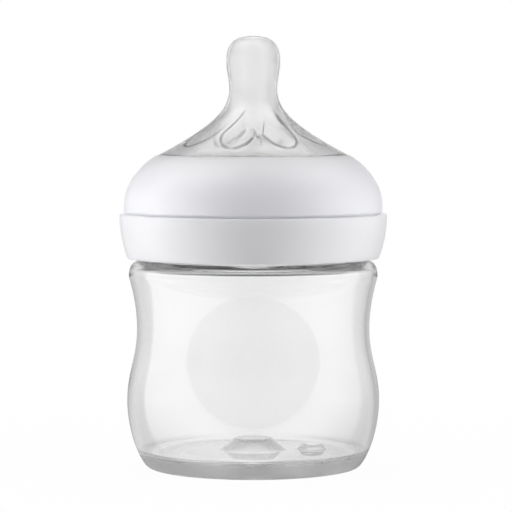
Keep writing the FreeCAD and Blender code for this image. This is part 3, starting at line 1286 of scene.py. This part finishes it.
@dataclass
class Studio:
    """White floor and backdrop, soft boxes at both sides and overhead, and the camera. Metres and degrees.

    Attributes:
        camera_distance: How far in front of the axis the camera stands.
        camera_height: Height of the camera.
        camera_side: How far to the right it stands.
        camera_tilt: How far it looks down.
        lens: Its focal length, mm.
        sensor: Width of its picture behind the lens, mm.
        nearest: Distance before which it sees nothing.
        floor_radius: Radius of the floor.
        floor_sides: How many sides the round floor has.
        floor_white: Linear brightness of the floor's paper.
        floor_roughness: Roughness of that paper.
        near_glow: Share of plain white in the floor at the bottle, where the rest keeps its shadow.
        glow_reach: How far out the floor is all plain white.
        near_shine: Share of the painted lamp reflections that the floor shows at the bottle.
        shine_reach: How far out it shows them all.
        floor_lead: How far in front of the axis the floor's bearings are taken from.
        overhead: Where the painted reflection of the box overhead starts and is full in gloss, as heights on
            a sphere of radius 1.
        painted_overhead_reflection: Brightness of that painted reflection.
        world_level: Strength of the world as a lamp.
        glass_bounces: How often light may pass or bounce in glass.
    """

    camera_distance: float = 0.690
    camera_height: float = 0.093
    camera_side: float = 0.00072
    camera_tilt: float = 3.186
    lens: float = 187.9
    sensor: float = 36.0
    nearest: float = 0.01
    floor_radius: float = 3.0
    floor_sides: int = 96
    floor_white: float = 0.9
    floor_roughness: float = 0.9
    near_glow: float = 0.97
    glow_reach: float = 0.3
    near_shine: float = 0.9
    shine_reach: float = 0.5
    floor_lead: float = 0.036
    overhead: Pole = (0.45, 0.9)
    painted_overhead_reflection: float = 2.2
    world_level: float = 0.06
    glass_bounces: int = 24

    def camera(self) -> None:
        """Place the camera in front of the bottle, level with its upper half."""
        data = bpy.data.cameras.new("camera")
        data.lens = self.lens
        data.sensor_width = self.sensor
        data.clip_start = self.nearest
        camera = bpy.data.objects.new("camera", data)
        camera.location = (self.camera_side, -self.camera_distance, self.camera_height)
        camera.rotation_euler = (math.radians(90 - self.camera_tilt), 0, 0)
        bpy.context.scene.collection.objects.link(camera)
        bpy.context.scene.camera = camera

    def floor(self) -> None:
        """Lay a round white floor."""
        mesh = bmesh.new()
        bmesh.ops.create_circle(mesh, cap_ends=True, segments=self.floor_sides, radius=self.floor_radius)
        data = bpy.data.meshes.new("floor")
        mesh.to_mesh(data)
        mesh.free()
        floor = bpy.data.objects.new("floor", data)
        bpy.context.scene.collection.objects.link(floor)
        floor.data.materials.append(self.paper())

    def band(self, wiring: Wiring, bearing: Socket, stops: Sequence[Pole]) -> Socket:
        """Brightness that changes with the bearing.

        Args:
            wiring: Adds the nodes.
            bearing: The bearing as a share of a turn, 0.5 towards the camera.
            stops: (bearing in degrees to the right of the camera, brightness).

        Returns:
            The brightness.
        """
        peak = max(level for _, level in stops)
        ramp = wiring.add("ShaderNodeValToRGB", {"Fac": bearing})
        ramp.color_ramp.interpolation = "B_SPLINE"
        elements = ramp.color_ramp.elements
        while len(elements) < len(stops):
            elements.new(0.5)
        for element, (degrees, level) in zip(elements, stops):
            element.position = 0.5 + degrees / 360
            element.color = (level / peak, level / peak, level / peak, 1)
        return wiring.reckon("MULTIPLY", ramp.outputs["Color"], peak)

    def seen(self, wiring: Wiring, place: Socket, shine: Value = 1.0) -> Socket:
        """Brightness of the surroundings: plain white to the eye, with painted lamp reflections in gloss and
        painted dark bands in glass, dim as a lamp.

        Args:
            wiring: Adds the nodes.
            place: Where the surroundings are met, seen from the axis.
            shine: Share of the painted lamp reflections that shows in gloss.

        Returns:
            The brightness.
        """
        parts = wiring.add("ShaderNodeSeparateXYZ", {0: place}).outputs
        turn = wiring.reckon("ARCTAN2", parts["X"], wiring.reckon("MULTIPLY", parts["Y"], -1.0))
        bearing = wiring.rescale(turn, (-math.pi, math.pi))
        # Painted reflection of the box overhead, seen by gloss that looks upward.
        top = wiring.rescale(parts["Z"], self.overhead, (0.0, self.painted_overhead_reflection), Ease.SMOOTH)
        # Gloss sees the painted lamp reflections and the painted reflection of the box overhead; glass sees
        # the painted dark bands.
        gloss = wiring.reckon("ADD", self.band(wiring, bearing, PAINTED_REFLECTIONS), top)
        path = wiring.add("ShaderNodeLightPath", {}).outputs
        level = wiring.blend(path["Is Glossy Ray"], self.world_level, wiring.reckon("MULTIPLY", gloss, shine))
        level = wiring.blend(path["Is Transmission Ray"], level, self.band(wiring, bearing, SEEN_THROUGH_WITH_PAINTED_SHADE))
        return wiring.blend(path["Is Camera Ray"], level, 1.0)

    def paper(self) -> bpy.types.Material:
        """White paper that reads as plain white to the eye, keeps a soft shadow near the bottle, and glows
        with the painted lamp reflections and dark bands to gloss and glass.

        Returns:
            The material.
        """
        material = bpy.data.materials.new("white_paper")
        material.use_nodes = True
        wiring = Wiring(material.node_tree)
        nodes = wiring.tree.nodes
        place = wiring.add("ShaderNodeTexCoord", {}).outputs["Object"]
        away = wiring.length(place)
        shown = wiring.rescale(away, (0.0, self.glow_reach), (self.near_glow, 1.0))
        path = wiring.add("ShaderNodeLightPath", {}).outputs
        for kind in ("Is Diffuse Ray", "Is Shadow Ray"):
            shown = wiring.blend(path[kind], shown, 0.0)
        shine = wiring.rescale(away, (0.0, self.shine_reach), (self.near_shine, 1.0))
        from_lead = wiring.move("ADD", place, (0, self.floor_lead, 0))
        # The paper's glow: plain white to the eye, painted lamp reflections to gloss and painted dark bands
        # to glass.
        white = wiring.add("ShaderNodeEmission", {"Strength": self.seen(wiring, from_lead, shine)})
        shader = wiring.feed(nodes["Principled BSDF"], {
            "Base Color": (self.floor_white, self.floor_white, self.floor_white, 1),
            "Roughness": self.floor_roughness,
        })
        mix = wiring.add("ShaderNodeMixShader", {0: shown, 1: shader.outputs[0], 2: white.outputs[0]})
        wiring.feed(nodes["Material Output"], {"Surface": mix.outputs[0]})
        return material

    def light(self) -> None:
        """Set the dim world, white where it is seen, and hang the lamps."""
        world = bpy.data.worlds.new("studio")
        world.use_nodes = True
        wiring = Wiring(world.node_tree)
        level = self.seen(wiring, wiring.add("ShaderNodeTexCoord", {}).outputs["Generated"])
        wiring.feed(wiring.tree.nodes["Background"], {"Color": (1, 1, 1, 1), "Strength": level})
        bpy.context.scene.world = world
        for box in SOFT_BOXES:
            box.hang()

    def build(self) -> None:
        """Set up the whole studio."""
        self.camera()
        self.floor()
        self.light()
        bpy.context.scene.view_settings.view_transform = "Standard"
        cycles = bpy.context.scene.cycles
        cycles.max_bounces = self.glass_bounces
        cycles.transmission_bounces = self.glass_bounces
        cycles.glossy_bounces = self.glass_bounces


def main() -> None:
    """Build every piece and note its faces, then the studio."""
    logging.basicConfig(level=logging.INFO, format="%(name)s: %(message)s")
    for part in (Bottle(), ScrewRing(), Teat(), VentFlap()):
        piece = part.build()
        log.info("%s: %d faces", piece.name, len(piece.data.polygons))
    Studio().build()


if __name__ == "__main__":
    main()
